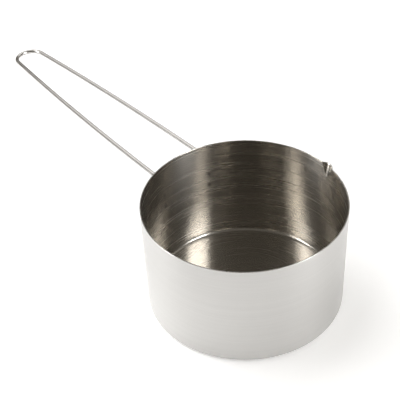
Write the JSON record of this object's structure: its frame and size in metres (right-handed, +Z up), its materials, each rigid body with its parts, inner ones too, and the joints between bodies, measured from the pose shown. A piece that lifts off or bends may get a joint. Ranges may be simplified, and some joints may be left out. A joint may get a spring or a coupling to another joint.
{
  "type": "candle melting pot",
  "caption": "Straight-sided steel melting pot with a small pressed pouring lip on one side and a long hairpin wire handle welded to the wall.",
  "frame": {"origin": "middle of the pot's flat underside, on the pot's axis", "axes": "+Z up along the pot's axis; -X out along the handle; the pouring lip is on the +Y side, to the left of a user who holds the handle"},
  "size_m": [0.3462, 0.134, 0.077],
  "materials": {
    "pot_steel": "satin stainless sheet, finely brushed round the pot, with turning marks on the floor inside",
    "wire_steel": "bright drawn stainless wire",
    "weld_steel": "dull spot weld"
  },
  "bodies": {
    "root": {"pot": "pot_steel", "wire_handle": "wire_steel", "weld_left_upper": "weld_steel", "weld_left_lower": "weld_steel", "weld_right_upper": "weld_steel", "weld_right_lower": "weld_steel"}
  },
  "joints": []
}
